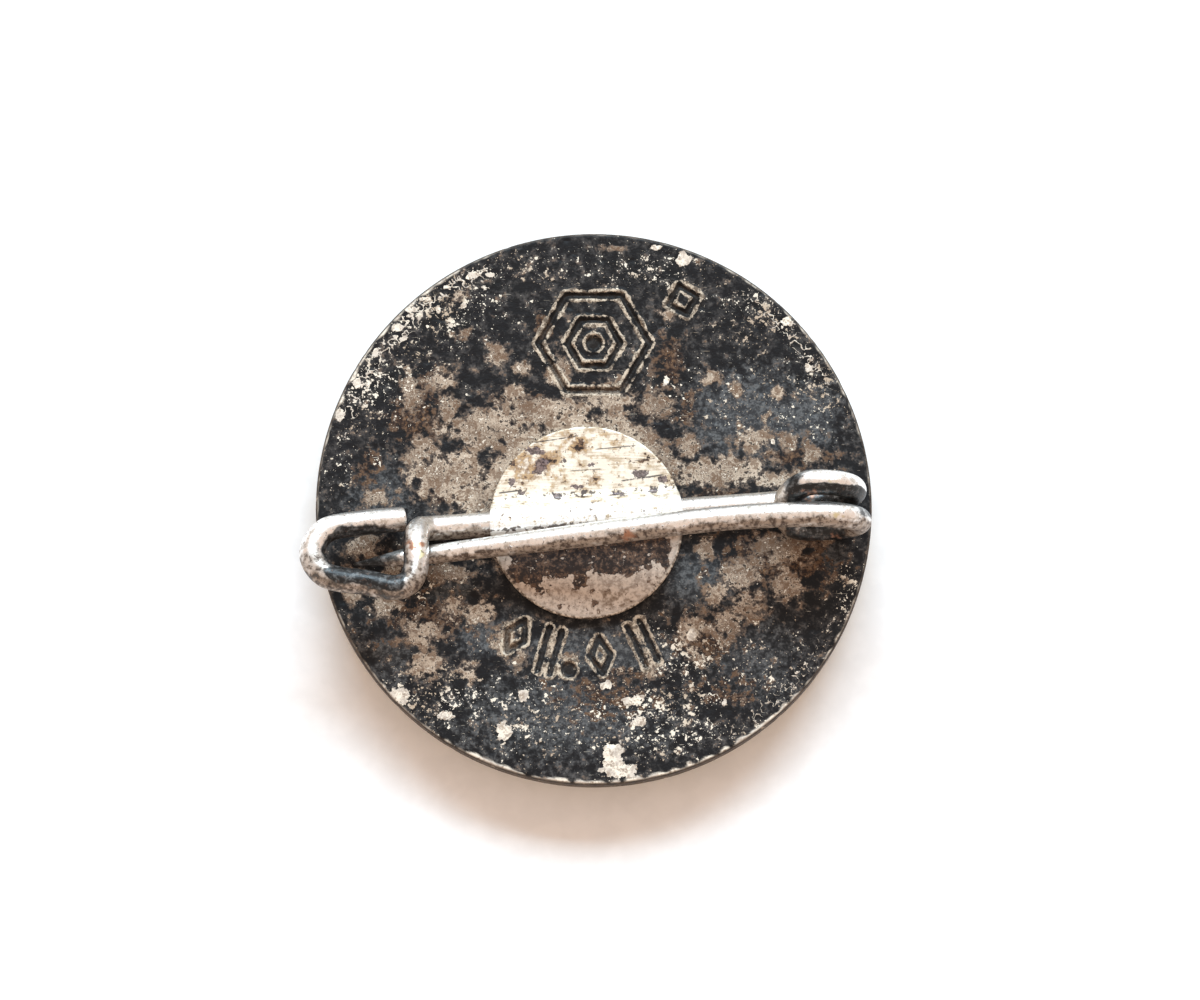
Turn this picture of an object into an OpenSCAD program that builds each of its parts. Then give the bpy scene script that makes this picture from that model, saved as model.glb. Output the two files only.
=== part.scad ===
// Round enamelled lapel badge with a one-wire pin, lying on its front with the back uppermost.
// Frame: Z = 0 is the flat centre of the front, on the badge's axis, and +Z points out of the back.
// +X points from the catch to the spring coil. Millimetres.

/* [Badge body] */
// Outer diameter of the badge
badge_d = 23; // [22.6:0.1:24]
// Height of the back face above the flat centre of the front
back_z = 2.4; // [2.2:0.1:3]
// How far the front curves back from its flat centre to the rim
dome_rise = 1.25; // [1.1:0.05:1.4]
// Radius of the flat centre of the front
flat_r = 5; // [4.9:0.05:5.1]
// Chamfer round the edge of the back face
edge_chamfer = 0.12; // [0.05:0.01:0.2]

/* [Enamel front] */
// Radius of the centre enamel field
centre_field_r = 4.6; // [4:0.1:4.7]
// Inner radius of the inner enamel ring
inner_ring_in = 5.1; // [5:0.1:5.5]
// Outer radius of the inner enamel ring
inner_ring_out = 7.9; // [7:0.1:8]
// Inner radius of the outer enamel ring
outer_ring_in = 8.4; // [8.3:0.1:8.8]
// Outer radius of the outer enamel ring
outer_ring_out = 10.6; // [10:0.1:10.8]
// Height of the floor of the centre cell
centre_floor_z = 0.5; // [0.4:0.05:0.7]
// Height of the floor of the inner ring's cell
inner_floor_z = 0.9; // [0.8:0.05:1]
// Height of the floor of the outer ring's cell
outer_floor_z = 1.45; // [1.3:0.05:1.6]

/* [Mounting disc] */
// Diameter of the disc that holds the wire on the back
disc_d = 8; // [7.6:0.1:8.4]
// Thickness of the disc's sheet
disc_t = 0.3; // [0.2:0.05:0.35]
// Centre of the disc along X
disc_x = -0.3; // [-0.5:0.05:0.5]
// Centre of the disc along Y
disc_y = -0.65; // [-0.8:0.05:-0.4]
// Thickness of the solder between the disc and the back
solder_t = 0.1; // [0.05:0.01:0.15]
// How far the solder stops short of the disc's edge
solder_inset = 0.12; // [0.05:0.01:0.3]
// Gap between the wire and the channel pressed for it in the disc
channel_gap = 0.01; // [0.01:0.01:0.05]

/* [Pin wire] */
// Diameter of the wire
wire_d = 1.05; // [1:0.01:1.06]
// Diameter of the arm past its bow, where it is slightly drawn down
arm_d = 1; // [0.9:0.01:1]
// Slope of the base strand in plan, Y per X
base_slope = 0.072; // [0.06:0.002:0.08]
// Y of the base strand where X is 0
base_y = -0.44; // [-0.46:0.01:-0.42]

/* [Spring coil] */
// Centre of the coil along X
coil_x = 9.31; // [9.2:0.01:9.4]
// How far the coil's second turn stands further out along X than its first
coil_lean = 0.2; // [0:0.01:0.2]
// Mean radius of the coil
coil_r = 1.475; // [1.45:0.005:1.5]
// Y of the coil's first turn at its top
first_turn_y = 0.62; // [0.6:0.01:0.66]
// Y of the coil's second turn at its bottom
second_turn_y = -0.93; // [-0.96:0.01:-0.92]
// Y of the arm's root, at the top of the second turn
root_y = -0.7; // [-0.72:0.01:-0.7]
// How far the ball at the arm's root stands out from the wire
root_swell = 0.02; // [0.01:0.01:0.03]
// Gap between that ball and the hollow end of the coil
root_gap = 0.05; // [0.04:0.01:0.08]

/* [Pin arm] */
// Distance along X over which the arm curves down from its root
bow_length = 5.9; // [5.5:0.1:6]
// Height that the arm loses per X past the bow
arm_drop = 0.186; // [0.18:0.001:0.19]
// Y that the arm moves per X past the bow
arm_drift = 0.104; // [0.1:0.001:0.108]
// Length of the straight round shank past the bow
shank_length = 3.9; // [3:0.1:4]
// Length of the long slow taper
taper_length = 7.7; // [7.4:0.1:7.8]
// Length of the ground point
point_length = 2.1; // [2:0.1:2.2]
// Diameter where the point begins
point_d = 0.76; // [0.7:0.01:0.8]
// Diameter of the blunted tip
tip_d = 0.1; // [0.06:0.01:0.14]

/* [Back stamps] */
// Depth of the geometric stamps in the back
stamp_depth = 0.12; // [0.05:0.01:0.2]
// Line width of the stamps
stamp_line = 0.18; // [0.12:0.01:0.22]
// Distance of the hexagonal stamp above the badge's axis
hexagon_y = 6.9; // [6.7:0.1:7.1]
// Radius of the hexagonal stamp at its corners
hexagon_r = 2.4; // [2.2:0.1:2.5]
// Distance of the row of marks from the disc's centre
mark_row_r = 5.5; // [5.4:0.1:5.8]
// Height of a mark in the row
mark_h = 1.8; // [1.4:0.1:1.8]
// Width of a mark in the row
mark_w = 1.05; // [0.8:0.05:1.1]

/* [Hidden] */

$fn = 64;
wire_sides = 12;
bow_sides = 48;
ring_sides = 720; // for the large ring that the bow is a short arc of
past = 1; // how far a cutter runs past the surface that it opens

badge_r = badge_d / 2;
disc_r = disc_d / 2;
wire_r = wire_d / 2;
arm_r = arm_d / 2;
root_r = wire_r + root_swell;
shank_start = 0.5; // how far the shank begins inside the bow

// Round the flat centre, the front curves back as part of a sphere, by dome_rise at the rim.
dome_sum = (pow(badge_r, 2) - pow(flat_r, 2)) / dome_rise;
dome_centre_z = (dome_sum + dome_rise) / 2;
dome_r = norm([dome_centre_z, flat_r]);
dome_steps = 12;
function dome_z(r) = dome_centre_z - sqrt(pow(dome_r, 2) - r * r);
dome_edge = [for (i = [0 : dome_steps])
    let (r = flat_r + (badge_r - flat_r) * i / dome_steps) [r, dome_z(r)]];

// The base strand lies on the back face; the coil stands on the same face.
strand_z = back_z + wire_r;
coil_z = strand_z + coil_r;
coil_start_x = 8;
function strand_y(x) = base_y + base_slope * x;
function strand_point(x) = [x, strand_y(x), strand_z];
strand_angle = atan(base_slope);

// The arm leaves the top of the second turn along -X and curves to its straight part.
root = [coil_x + coil_lean / 2, root_y, coil_z + coil_r];
arm_run = [-1, -arm_drift, -arm_drop] / norm([1, arm_drift, arm_drop]);
bow_angle = acos(-arm_run[0]);
bow_radius = bow_length / sin(bow_angle);
bow_roll = atan2(arm_drift, arm_drop);
side_step = [0, -arm_drift, -arm_drop] / norm([arm_drift, arm_drop]);
bow_end = root + [-bow_length, 0, 0] + side_step * bow_radius * (1 - cos(bow_angle));

// Turn angles of the coil, from the bottom of the first turn to the arm's root.
turn_step = 10;
first_angle = -90;
first_top = 90;
root_angle = 450;
spread_from = -130; // where the first turn would begin to leave the base strand's line
cross_from = 100; // where the wire leaves the first turn's plane
cross_to = 240; // where it reaches the second turn's plane

// The catch: up from the base strand, over the arm, and round to a cut end beside its own start.
// Each point is X, Y and height above the back face.
catch_points = [
    [-6.25, -0.89, 0.525], [-6.75, -0.93, 0.60], [-7.16, -1.04, 1.05], [-7.29, -1.45, 1.60],
    [-7.29, -2.05, 1.95], [-7.30, -2.75, 2.10], [-7.56, -3.33, 2.20], [-8.20, -3.58, 2.25],
    [-9.35, -3.36, 2.25], [-10.35, -3.24, 2.20], [-11.15, -2.94, 2.15], [-11.56, -2.10, 2.00],
    [-11.00, -1.16, 1.75], [-9.55, -0.80, 1.35], [-7.85, -0.58, 0.85]
];
catch_steps = 4;
catch_end_run = [1, 0.13, -0.3]; // direction of the wire at its cut end

small_stamp_place = [3.7, 8.7];
small_stamp_turn = 15;
small_stamp_r = 0.75;
mark_angles = [-122, -106, -84, -65];
dot_angle = -97;
dot_r = 0.3;

// ---- curves -------------------------------------------------------------------------------------

function unit(v) = v / norm(v);
function ease(t) = t * t * (3 - 2 * t);
function share(x, from, to) = min(1, max(0, (x - from) / (to - from)));

// Catmull-Rom point between b and c, at t from 0 to 1
function spline_point(a, b, c, d, t) =
    (2 * b + (c - a) * t + (2 * a - 5 * b + 4 * c - d) * t * t + (3 * b - a - 3 * c + d) * t * t * t) / 2;

function spline(points, steps) = [
    for (i = [0 : len(points) - 2], k = [0 : steps - 1])
        spline_point(points[max(0, i - 1)], points[i], points[i + 1],
                     points[min(len(points) - 1, i + 2)], k / steps),
    points[len(points) - 1]
];

// Direction of a path at point i, and the ring of points round it
function path_run(path, i) = unit(path[min(len(path) - 1, i + 1)] - path[max(0, i - 1)]);
function ring_points(path, i, r, ref, run) =
    let (across = unit(cross(ref, run)), over = cross(run, across))
    [for (k = [0 : wire_sides - 1])
        path[i] + r * (cos(360 * k / wire_sides) * across + sin(360 * k / wire_sides) * over)];

// A round wire of radius r along path; ref is a direction that the path never takes
module wire(path, r, ref, first_run, last_run) {
    last = len(path) - 1;
    points = [for (i = [0 : last])
        each ring_points(path, i, r, ref, i == 0 ? first_run : i == last ? last_run : path_run(path, i))];
    walls = [for (i = [0 : last - 1], k = [0 : wire_sides - 1])
        let (next = (k + 1) % wire_sides, low = i * wire_sides, high = low + wire_sides)
        each [[low + k, high + next, high + k], [low + k, low + next, high + next]]];
    first_cap = [for (k = [wire_sides - 1 : -1 : 0]) k];
    last_cap = [for (k = [0 : wire_sides - 1]) last * wire_sides + k];
    polyhedron(points, concat(walls, [first_cap, last_cap]));
}

function between(a, b, t) = (1 - t) * a + t * b;

// Y of the coil's wire at a turn angle
function coil_y(angle) =
    angle < first_top
    ? between(strand_y(coil_start_x), first_turn_y, ease(share(angle, spread_from, first_top)))
    : angle < cross_to
    ? between(first_turn_y, second_turn_y, ease(share(angle, cross_from, cross_to)))
    : between(second_turn_y, root_y, share(angle, cross_to, root_angle));
function coil_point(angle) = [
    coil_x + coil_lean * (share(angle, 0, 360) - 0.5) + coil_r * cos(angle),
    coil_y(angle),
    coil_z + coil_r * sin(angle)
];

// ---- front and body -----------------------------------------------------------------------------

module blank() {
    back_edge = [[badge_r, back_z - edge_chamfer], [badge_r - edge_chamfer, back_z], [0, back_z]];
    rotate_extrude() polygon(concat([[0, 0]], dome_edge, back_edge));
}

// The space of one enamel field, open at the front
module cell(inner, outer, floor_z) {
    translate([0, 0, -past])
    difference() {
        cylinder(r = outer, h = floor_z + past);
        if (inner > 0) translate([0, 0, -past]) cylinder(r = inner, h = floor_z + 3 * past);
    }
}

module enamel_field(inner, outer, floor_z) {
    intersection() {
        blank();
        cell(inner, outer, floor_z);
    }
}

module badge_body() {
    color([0.22, 0.22, 0.23])
    difference() {
        blank();
        cell(0, centre_field_r, centre_floor_z);
        cell(inner_ring_in, inner_ring_out, inner_floor_z);
        cell(outer_ring_in, outer_ring_out, outer_floor_z);
        translate([0, 0, back_z - stamp_depth]) linear_extrude(stamp_depth + past) stamps();
    }
}

module enamel_centre() {
    color([0.05, 0.2, 0.22]) enamel_field(0, centre_field_r, centre_floor_z);
}

module enamel_inner_ring() {
    color([0.85, 0.82, 0.72]) enamel_field(inner_ring_in, inner_ring_out, inner_floor_z);
}

module enamel_outer_ring() {
    color([0.05, 0.2, 0.22]) enamel_field(outer_ring_in, outer_ring_out, outer_floor_z);
}

// ---- plain geometric stamps in the back ---------------------------------------------------------

module outline(r, sides) {
    difference() {
        circle(r = r, $fn = sides);
        circle(r = r - stamp_line / cos(180 / sides), $fn = sides);
    }
}

module lozenge() {
    inset = stamp_line * norm([mark_w, mark_h]) / mark_w;
    inner = (mark_h / 2 - inset) / (mark_h / 2);
    corners = [[mark_w / 2, 0], [0, mark_h / 2], [-mark_w / 2, 0], [0, -mark_h / 2]];
    difference() {
        polygon(corners);
        polygon(corners * inner);
    }
}

module bar_pair() {
    for (side = [-1, 1])
        translate([side * mark_w / 4, 0]) square([stamp_line, mark_h], center = true);
}

module stamps() {
    translate([0, hexagon_y]) {
        outline(hexagon_r, 6);
        outline(hexagon_r / 2, 6);
        circle(r = dot_r);
    }
    translate(small_stamp_place) rotate(small_stamp_turn) outline(small_stamp_r, 4);
    translate([disc_x, disc_y]) {
        for (i = [0 : len(mark_angles) - 1])
            rotate(mark_angles[i]) translate([mark_row_r, 0]) rotate(90)
                if (i % 2 == 0) lozenge();
                else bar_pair();
        rotate(dot_angle) translate([mark_row_r + mark_h / 3, 0]) circle(r = dot_r);
    }
}

// ---- disc and solder ----------------------------------------------------------------------------

// A straight round rod on the base strand's line, through everything over it
module strand_rod(r) {
    translate(strand_point(0)) rotate([0, 0, strand_angle]) rotate([0, 90, 0])
        cylinder(r = r, h = badge_d, center = true);
}

module solder_layer() {
    color([0.6, 0.6, 0.58])
    difference() {
        translate([disc_x, disc_y, back_z]) cylinder(r = disc_r - solder_inset, h = solder_t);
        strand_rod(wire_r + channel_gap);
    }
}

// Flat sheet, pressed up over the base strand as a round-topped channel
module mounting_disc() {
    sheet_z = back_z + solder_t;
    color([0.78, 0.74, 0.66])
    difference() {
        union() {
            translate([disc_x, disc_y, sheet_z]) cylinder(r = disc_r, h = disc_t);
            intersection() {
                strand_rod(wire_r + disc_t);
                translate([disc_x, disc_y, sheet_z]) cylinder(r = disc_r, h = wire_d + disc_t);
            }
        }
        strand_rod(wire_r + channel_gap);
    }
}

// ---- the wire: base strand and catch, coil, and the arm that moves ------------------------------

module catch_wire() {
    rise = [for (p = spline(catch_points, catch_steps)) p + [0, 0, back_z]];
    path = concat([strand_point(coil_start_x)], rise);
    color([0.75, 0.74, 0.72])
    wire(path, wire_r, [0, 0, 1], unit([-1, -base_slope, 0]), unit(catch_end_run));
}

module spring_coil() {
    turns = [for (angle = [first_angle : turn_step : root_angle]) coil_point(angle)];
    path = concat([strand_point(coil_start_x)], turns);
    color([0.72, 0.71, 0.69])
    difference() {
        wire(path, wire_r, [0, 1, 0], unit([1, base_slope, 0]), [-1, 0, 0]);
        translate(root) sphere(r = root_r + root_gap);
    }
}

// The turned part of the arm: round shank, slow taper and ground point, from inside the bow's end
module shank() {
    taper_end = shank_length + taper_length;
    profile = [
        [0, -shank_start], [arm_r, -shank_start], [arm_r, shank_length], [point_d / 2, taper_end],
        [tip_d / 2, taper_end + point_length], [0, taper_end + point_length]
    ];
    translate(bow_end) rotate([0, acos(arm_run[2]), atan2(arm_run[1], arm_run[0])])
        rotate_extrude() polygon(profile);
}

// The stretch that curves down from the root, a short arc of a large ring
module bow() {
    translate(root + side_step * bow_radius) rotate([-bow_roll, 0, 0]) rotate([0, -90, 90])
        rotate_extrude(angle = bow_angle, $fn = ring_sides)
            translate([bow_radius, 0]) circle(r = wire_r, $fn = bow_sides);
}

module pin_arm() {
    color([0.8, 0.79, 0.77])
    union() {
        translate(root) sphere(r = root_r);
        bow();
        shank();
    }
}

badge_body();
enamel_centre();
enamel_inner_ring();
enamel_outer_ring();
solder_layer();
mounting_disc();
catch_wire();
spring_coil();
pin_arm();
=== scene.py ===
import math

import bpy
import numpy as np
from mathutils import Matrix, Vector


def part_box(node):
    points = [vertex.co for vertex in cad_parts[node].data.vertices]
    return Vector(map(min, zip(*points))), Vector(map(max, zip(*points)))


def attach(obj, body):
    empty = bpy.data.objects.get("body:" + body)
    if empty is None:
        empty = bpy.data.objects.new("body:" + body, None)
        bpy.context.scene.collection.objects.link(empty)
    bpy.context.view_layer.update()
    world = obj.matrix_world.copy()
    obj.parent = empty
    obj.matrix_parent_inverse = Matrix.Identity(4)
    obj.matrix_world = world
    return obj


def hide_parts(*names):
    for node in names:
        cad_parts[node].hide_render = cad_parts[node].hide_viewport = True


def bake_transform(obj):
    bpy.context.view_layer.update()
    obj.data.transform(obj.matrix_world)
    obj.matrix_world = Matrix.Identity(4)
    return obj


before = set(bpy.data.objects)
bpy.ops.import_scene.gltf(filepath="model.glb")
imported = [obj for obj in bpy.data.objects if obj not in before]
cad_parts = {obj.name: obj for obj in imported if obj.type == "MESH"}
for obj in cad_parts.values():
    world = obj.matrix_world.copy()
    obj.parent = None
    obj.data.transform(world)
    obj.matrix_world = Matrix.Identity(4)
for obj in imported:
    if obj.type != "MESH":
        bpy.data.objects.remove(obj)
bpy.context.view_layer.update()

# Lengths are millimetres in the CAD frame until piece() turns them into metres.
MM = 0.001
BADGE_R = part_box("badge_body")[1].x / MM
BACK_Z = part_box("badge_body")[1].z / MM
DISC_LOW, DISC_HIGH = (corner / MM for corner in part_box("mounting_disc"))
DISC_X = (DISC_LOW.x + DISC_HIGH.x) / 2
DISC_Y = (DISC_LOW.y + DISC_HIGH.y) / 2
DISC_R = (DISC_HIGH.x - DISC_LOW.x) / 2
DISC_T = 0.3
SHEET_TOP, RIDGE_TOP = DISC_LOW.z + DISC_T, DISC_HIGH.z

# Front: flat centre, then part of a sphere; the enamel's cells are (inner radius, outer radius, floor height)
FLAT_R, DOME_RISE = 5.0, 1.25
DOME_SUM = (BADGE_R ** 2 - FLAT_R ** 2) / DOME_RISE
DOME_Z = (DOME_SUM + DOME_RISE) / 2
DOME_R = math.hypot(DOME_Z, FLAT_R)
GLASS_GAP = 0.004  # between the enamel and its cell
CELLS = {"centre": (0.0, 4.6, 0.5), "inner_ring": (5.1, 7.9, 0.9), "outer_ring": (8.4, 10.6, 1.45)}

# The wire, as in part.scad
WIRE_R = 0.525
STRAND_SLOPE, STRAND_Y, STRAND_Z = 0.072, -0.44, BACK_Z + WIRE_R
STRAND_END_X = 8.0
COIL_X, COIL_LEAN, COIL_R = 9.31, 0.2, 1.475
TURN_1_Y, TURN_2_Y, ROOT_Y = 0.62, -0.93, -0.7
TURN_1_ANGLE, TURN_2_ANGLE = 90, 240
BOW_LENGTH, ARM_DROP, ARM_DRIFT = 5.9, 0.186, 0.104
SHANK, TAPER, POINT = 3.9, 7.7, 2.1
SHANK_R, POINT_R, TIP_R = 0.5, 0.38, 0.05
CATCH_POINTS = [
    (-6.25, -0.89, 0.525), (-6.75, -0.93, 0.60), (-7.16, -1.04, 1.05), (-7.29, -1.45, 1.60),
    (-7.29, -2.05, 1.95), (-7.30, -2.75, 2.10), (-7.56, -3.33, 2.20), (-8.20, -3.58, 2.25),
    (-9.35, -3.36, 2.25), (-10.35, -3.24, 2.20), (-11.15, -2.94, 2.15), (-11.56, -2.10, 2.00),
    (-11.00, -1.16, 1.75), (-9.55, -0.80, 1.35), (-7.85, -0.58, 0.85),
]
SPLIT_ANGLE, ROOT_ANGLE = 400, 450  # turn angles of the coil where the arm piece and the arm begin

# The stamps on the back
MARK_Y, HEXAGONS, MARK_DOT_R = 6.9, (2.296, 1.096), 0.21
SQUARE = (3.7, 8.7, 0.62)
ROW_R, ROW_DOT_R, ROW_DOT_ANGLE = 5.5, 6.1, -97
LOZENGE_W, LOZENGE_H = 0.42, 0.73
BAR_SIDE, BAR_HALF = 0.2625, 0.9

# How finely the meshes are cut
BODY_SEGMENTS, DISC_SEGMENTS, ENAMEL_SEGMENTS, WIRE_SIDES = 768, 480, 256, 40
RING_STEP, WIRE_STEP = 0.055, 0.07


# ---- numbers ---------------------------------------------------------------------------------------

def ease(value, low, high):
    """0 below low, 1 above high, and smooth between them"""
    t = np.clip((value - low) / (high - low), 0, 1)
    return t * t * (3 - 2 * t)


def noise(points, cell, seed):
    """Smooth seeded noise from 0 to 1, with features about one cell across"""
    p = np.asarray(points, float) / cell + 1000
    base = np.floor(p).astype(np.int64)
    f = p - base
    f = f * f * (3 - 2 * f)
    total = np.zeros(len(p))
    for corner in np.ndindex(2, 2, 2):
        at = base + corner
        h = at[:, 0] * 73856093 ^ at[:, 1] * 19349663 ^ at[:, 2] * 83492791 ^ seed * 265443576
        h = ((h ^ (h >> 13)) * 1274126177) & 0xFFFFFFFF
        h = ((h ^ (h >> 15)) * 2246822519) & 0xFFFFFFFF
        value = ((h ^ (h >> 16)) & 0xFFFF) / 0xFFFF
        total += value * np.prod(np.where(corner, f, 1 - f), axis=1)
    return total


def fractal(points, cell, seed):
    """Three octaves of noise, from 0 to 1"""
    return (noise(points, cell, seed) * 4 + noise(points, cell / 2.1, seed + 1) * 2
            + noise(points, cell / 4.3, seed + 2)) / 7


def flat_points(x, y):
    return np.column_stack([x, y, np.zeros(len(x))])


def segment_distance(x, y, ends):
    """Distance from each point to the nearest of several segments"""
    best = np.full(len(x), 99.0)
    for (ax, ay), (bx, by) in ends:
        dx, dy = bx - ax, by - ay
        t = np.clip(((x - ax) * dx + (y - ay) * dy) / (dx * dx + dy * dy), 0, 1)
        best = np.minimum(best, np.hypot(x - ax - t * dx, y - ay - t * dy))
    return best


def blobs(x, y, spots):
    """Soft hills (x, y, radius along X, radius along Y, height), joined where they overlap"""
    total = np.zeros(len(x))
    for cx, cy, rx, ry, height in spots:
        total = np.maximum(total, height * np.exp(-(((x - cx) / rx) ** 2 + ((y - cy) / ry) ** 2)))
    return total


def strand_y(x):
    return STRAND_Y + STRAND_SLOPE * x


# ---- pieces ----------------------------------------------------------------------------------------

def piece(name, points, faces, material, nodes, fields=None, sharp=40):
    """A smooth mesh that stands for CAD nodes; fields are numbers per vertex that its material reads"""
    mesh = bpy.data.meshes.new(name)
    mesh.from_pydata((points * MM).tolist(), [], faces)
    mesh.polygons.foreach_set("use_smooth", np.ones(len(mesh.polygons), bool))
    mesh.set_sharp_from_angle(angle=math.radians(sharp))
    rest = mesh.attributes.new("rest", "FLOAT_VECTOR", "POINT")
    rest.data.foreach_set("vector", points.astype(np.float32).ravel())
    for key, values in (fields or {}).items():
        mesh.attributes.new(key, "FLOAT", "POINT").data.foreach_set("value", values.astype(np.float32))
    mesh.materials.append(material)
    obj = bpy.data.objects.new(name, mesh)
    bpy.context.scene.collection.objects.link(obj)
    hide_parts(*nodes)
    return obj


def rings_to_faces(rings, segments, first_pole=None, last_pole=None):
    """Quads between rings of points that follow each other, and fans to a pole at either end"""
    step = np.arange(segments)
    after = (step + 1) % segments
    faces = []
    for i in range(rings - 1):
        low, high = i * segments, (i + 1) * segments
        faces += np.column_stack([low + step, high + step, high + after, low + after]).tolist()
    if first_pole is not None:
        faces += [[first_pole, a, b] for a, b in zip(step.tolist(), after.tolist())]
    if last_pole is not None:
        top = (rings - 1) * segments
        faces += [[last_pole, top + b, top + a] for a, b in zip(step.tolist(), after.tolist())]
    return faces


def lathe(profile, segments):
    """Points and faces of a profile (r, z) turned round Z, from one end on the axis to the other"""
    angles = np.linspace(0, 2 * math.pi, segments, endpoint=False)
    body = [np.column_stack([r * np.cos(angles), r * np.sin(angles), np.full(segments, z)])
            for r, z in profile[1:-1]]
    poles = [[0, 0, profile[0][1]], [0, 0, profile[-1][1]]]
    points = np.vstack(body + [poles])
    rings = len(body)
    return points, rings_to_faces(rings, segments, rings * segments, rings * segments + 1)


# ---- the struck body -------------------------------------------------------------------------------

def polygon_ends(cx, cy, r, sides, turn):
    """Segments of a regular polygon"""
    corners = [(cx + r * math.cos(turn + 2 * math.pi * k / sides),
                cy + r * math.sin(turn + 2 * math.pi * k / sides)) for k in range(sides)]
    return list(zip(corners, corners[1:] + corners[:1]))


def row_mark(angle, outline):
    """Segments of one mark in the row round the disc's centre, in the badge's frame"""
    a = math.radians(angle)
    cx, cy = DISC_X + ROW_R * math.cos(a), DISC_Y + ROW_R * math.sin(a)

    def place(u, v):  # u along the row, v along its radius
        return (cx - u * math.sin(a) - v * math.cos(a), cy + u * math.cos(a) - v * math.sin(a))
    return [(place(*start), place(*end)) for start, end in outline]


def stamp_lines():
    """Segments of the nested hexagons, the small square and the row below the disc"""
    lozenge = [(LOZENGE_W, 0), (0, LOZENGE_H), (-LOZENGE_W, 0), (0, -LOZENGE_H)]
    lozenge = list(zip(lozenge, lozenge[1:] + lozenge[:1]))
    bars = [((side * BAR_SIDE, -BAR_HALF), (side * BAR_SIDE, BAR_HALF)) for side in (-1, 1)]
    lines = [ends for r in HEXAGONS for ends in polygon_ends(0, MARK_Y, r, 6, 0)]
    lines += polygon_ends(*SQUARE, 4, math.radians(15))
    for angle, outline in ((-122, lozenge), (-106, bars), (-84, lozenge), (-65, bars)):
        lines += row_mark(angle, outline)
    return lines


def stamp_distance(x, y):
    """Distance from the middle of the nearest stamped line, or from the inside of the nearer dot"""
    a = math.radians(ROW_DOT_ANGLE)
    dots = [(0, MARK_Y), (DISC_X + ROW_DOT_R * math.cos(a), DISC_Y + ROW_DOT_R * math.sin(a))]
    best = segment_distance(x, y, stamp_lines())
    for cx, cy in dots:
        best = np.minimum(best, np.maximum(np.hypot(x - cx, y - cy) - MARK_DOT_R, 0))
    return best


def back_height(x, y):
    """Height of the back face over its CAD plane: stamps with burred lips, slow waves and pits"""
    p = flat_points(x, y)
    d = stamp_distance(x, y) + 0.05 * (noise(p, 0.35, 5) - 0.5)
    stamp = -0.12 * (1 - ease(d, 0.05, 0.14))
    lip = 0.045 * np.exp(-((d - 0.2) / 0.07) ** 2) * ease(fractal(p, 0.6, 9), 0.3, 0.6)
    disc_gap = np.hypot(x - DISC_X, y - DISC_Y) - DISC_R
    strand_gap = np.abs(y - strand_y(x)) - 0.3
    free = ease(np.minimum(disc_gap, strand_gap), 0, 0.8)
    waves = 0.05 * (noise(p, 3.1, 21) - 0.5) + 0.018 * (fractal(p, 0.9, 31) - 0.5)
    pits = -0.03 * ease(noise(p, 0.28, 41), 0.8, 0.9) * ease(noise(p, 2.2, 43), 0.35, 0.6)
    return stamp + lip * free + (waves - 0.012) * free + pits * free


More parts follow.
